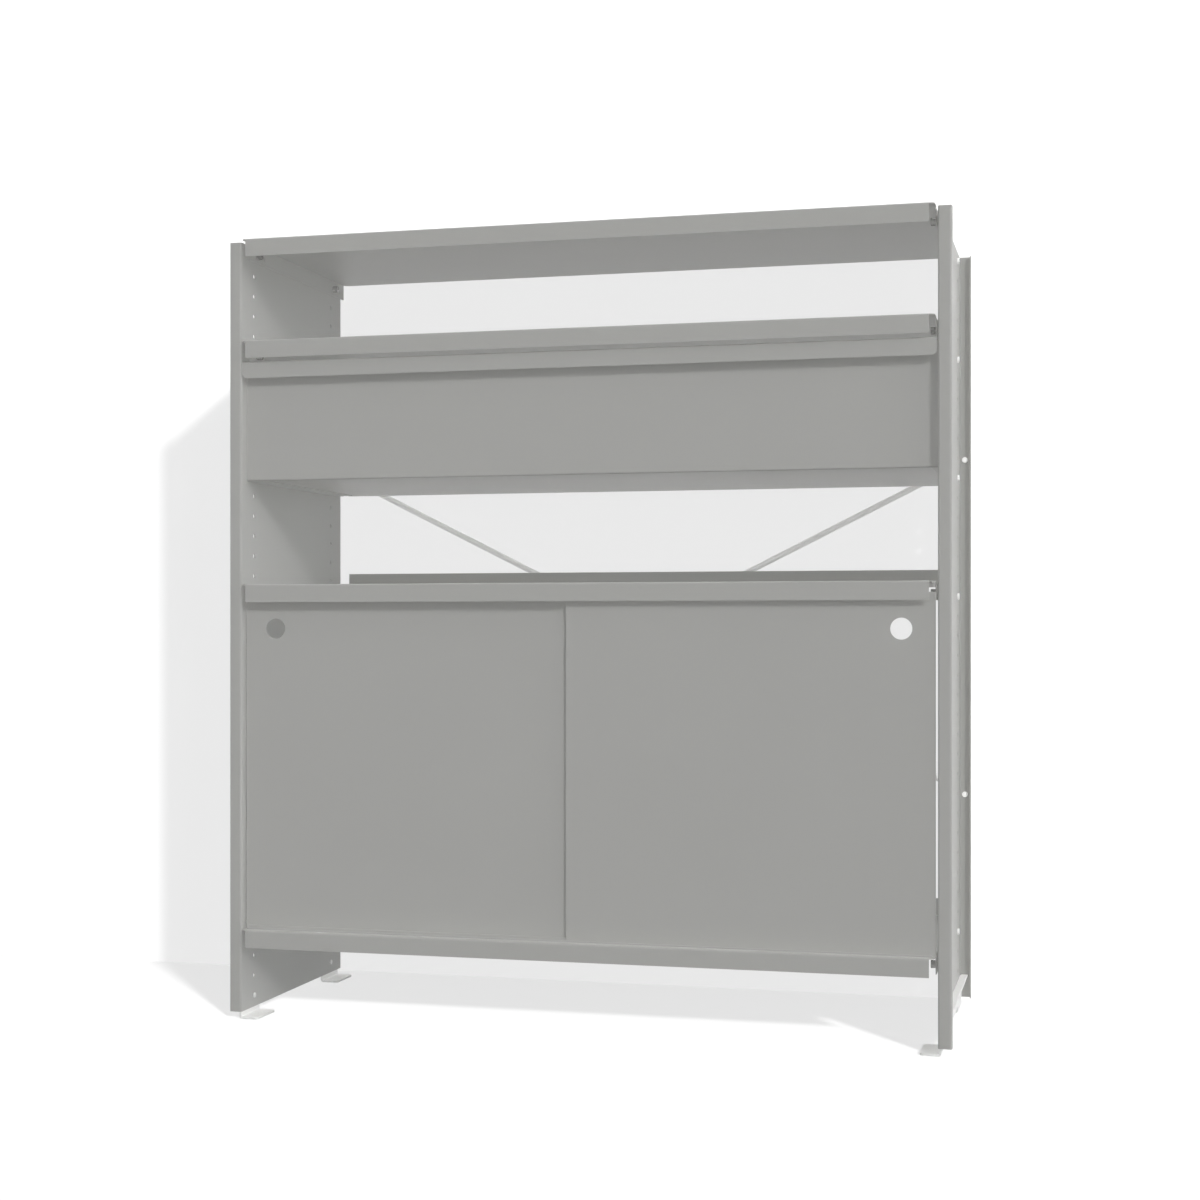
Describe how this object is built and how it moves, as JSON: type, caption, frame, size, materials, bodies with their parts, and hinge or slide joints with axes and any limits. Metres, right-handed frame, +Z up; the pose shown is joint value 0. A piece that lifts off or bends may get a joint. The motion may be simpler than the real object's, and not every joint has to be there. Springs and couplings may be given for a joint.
{
  "type": "highboard",
  "caption": "Sheet-steel highboard with perforated side panels, shelves, a drawer and sliding doors.",
  "frame": {"origin": "on the floor, in the middle of the object's box", "axes": "+X to the right as seen from the front, +Y from the front to the back, +Z up"},
  "size_m": [1.058, 0.4354, 1.18],
  "materials": {
    "coated_steel": "satin powder coat, warm grey",
    "zinc_steel": "zinc plated, satin",
    "pale_coating": "satin pale grey",
    "nylon": "matte off-white nylon",
    "grey_plastic": "matte grey plastic"
  },
  "bodies": {
    "frame": {"left_side_panel": "coated_steel", "right_side_panel": "coated_steel", "top_shelf": "coated_steel", "upper_shelf": "coated_steel", "door_shelf": "coated_steel", "bottom_shelf": "coated_steel", "left_cabinet_runner": "coated_steel", "right_cabinet_runner": "coated_steel", "top_shelf_pins": "zinc_steel", "upper_shelf_pins": "zinc_steel", "door_shelf_pins": "zinc_steel", "bottom_shelf_pins": "zinc_steel", "top_shelf_pin_caps": "zinc_steel", "upper_shelf_pin_caps": "zinc_steel", "door_shelf_pin_caps": "zinc_steel", "bottom_shelf_pin_caps": "zinc_steel", "runner_pins": "zinc_steel", "runner_pin_caps": "zinc_steel", "front_roller_axles": "zinc_steel", "rising_brace": "zinc_steel", "falling_brace": "zinc_steel", "brace_bolts": "zinc_steel", "brace_nuts": "zinc_steel", "brace_spacers": "zinc_steel", "foot_rivets": "zinc_steel", "left_foot_rail": "pale_coating", "right_foot_rail": "pale_coating", "upper_door_track": "grey_plastic", "lower_door_track": "grey_plastic"},
    "drawer": {"drawer_front": "coated_steel", "drawer_tray": "coated_steel", "left_drawer_runner": "coated_steel", "right_drawer_runner": "coated_steel", "rear_roller_axles": "zinc_steel"},
    "left_door": {"left_sliding_door": "coated_steel"},
    "right_door": {"right_sliding_door": "coated_steel"},
    "left_front_roller": {"left_front_roller": "nylon"},
    "right_front_roller": {"right_front_roller": "nylon"},
    "left_rear_roller": {"left_rear_roller": "nylon"},
    "right_rear_roller": {"right_rear_roller": "nylon"}
  },
  "joints": [
    {"name": "drawer_slide", "type": "slide", "parent": "frame", "child": "drawer", "axis": [0, -1, 0], "range_m": [0, 0.28]},
    {"name": "left_door_slide", "type": "slide", "parent": "frame", "child": "left_door", "axis": [1, 0, 0], "range_m": [0, 0.495]},
    {"name": "right_door_slide", "type": "slide", "parent": "frame", "child": "right_door", "axis": [-1, 0, 0], "range_m": [0, 0.495]},
    {"name": "left_front_roller_spin", "type": "hinge", "parent": "frame", "child": "left_front_roller", "pos_m": [-0.5033, -0.16925, 0.8115], "axis": [1, 0, 0], "range_deg": [0, 1470]},
    {"name": "right_front_roller_spin", "type": "hinge", "parent": "frame", "child": "right_front_roller", "pos_m": [0.5033, -0.16925, 0.8115], "axis": [1, 0, 0], "range_deg": [0, 1470]},
    {"name": "left_rear_roller_spin", "type": "hinge", "parent": "drawer", "child": "left_rear_roller", "pos_m": [-0.5033, 0.14575, 0.8108], "axis": [1, 0, 0], "range_deg": [0, 1470]},
    {"name": "right_rear_roller_spin", "type": "hinge", "parent": "drawer", "child": "right_rear_roller", "pos_m": [0.5033, 0.14575, 0.8108], "axis": [1, 0, 0], "range_deg": [0, 1470]}
  ],
  "couplings": [
    {"joint": "left_front_roller_spin", "follows": "drawer_slide", "rad_per_m": 90.909},
    {"joint": "right_front_roller_spin", "follows": "drawer_slide", "rad_per_m": 90.909},
    {"joint": "left_rear_roller_spin", "follows": "drawer_slide", "rad_per_m": 90.909},
    {"joint": "right_rear_roller_spin", "follows": "drawer_slide", "rad_per_m": 90.909}
  ]
}
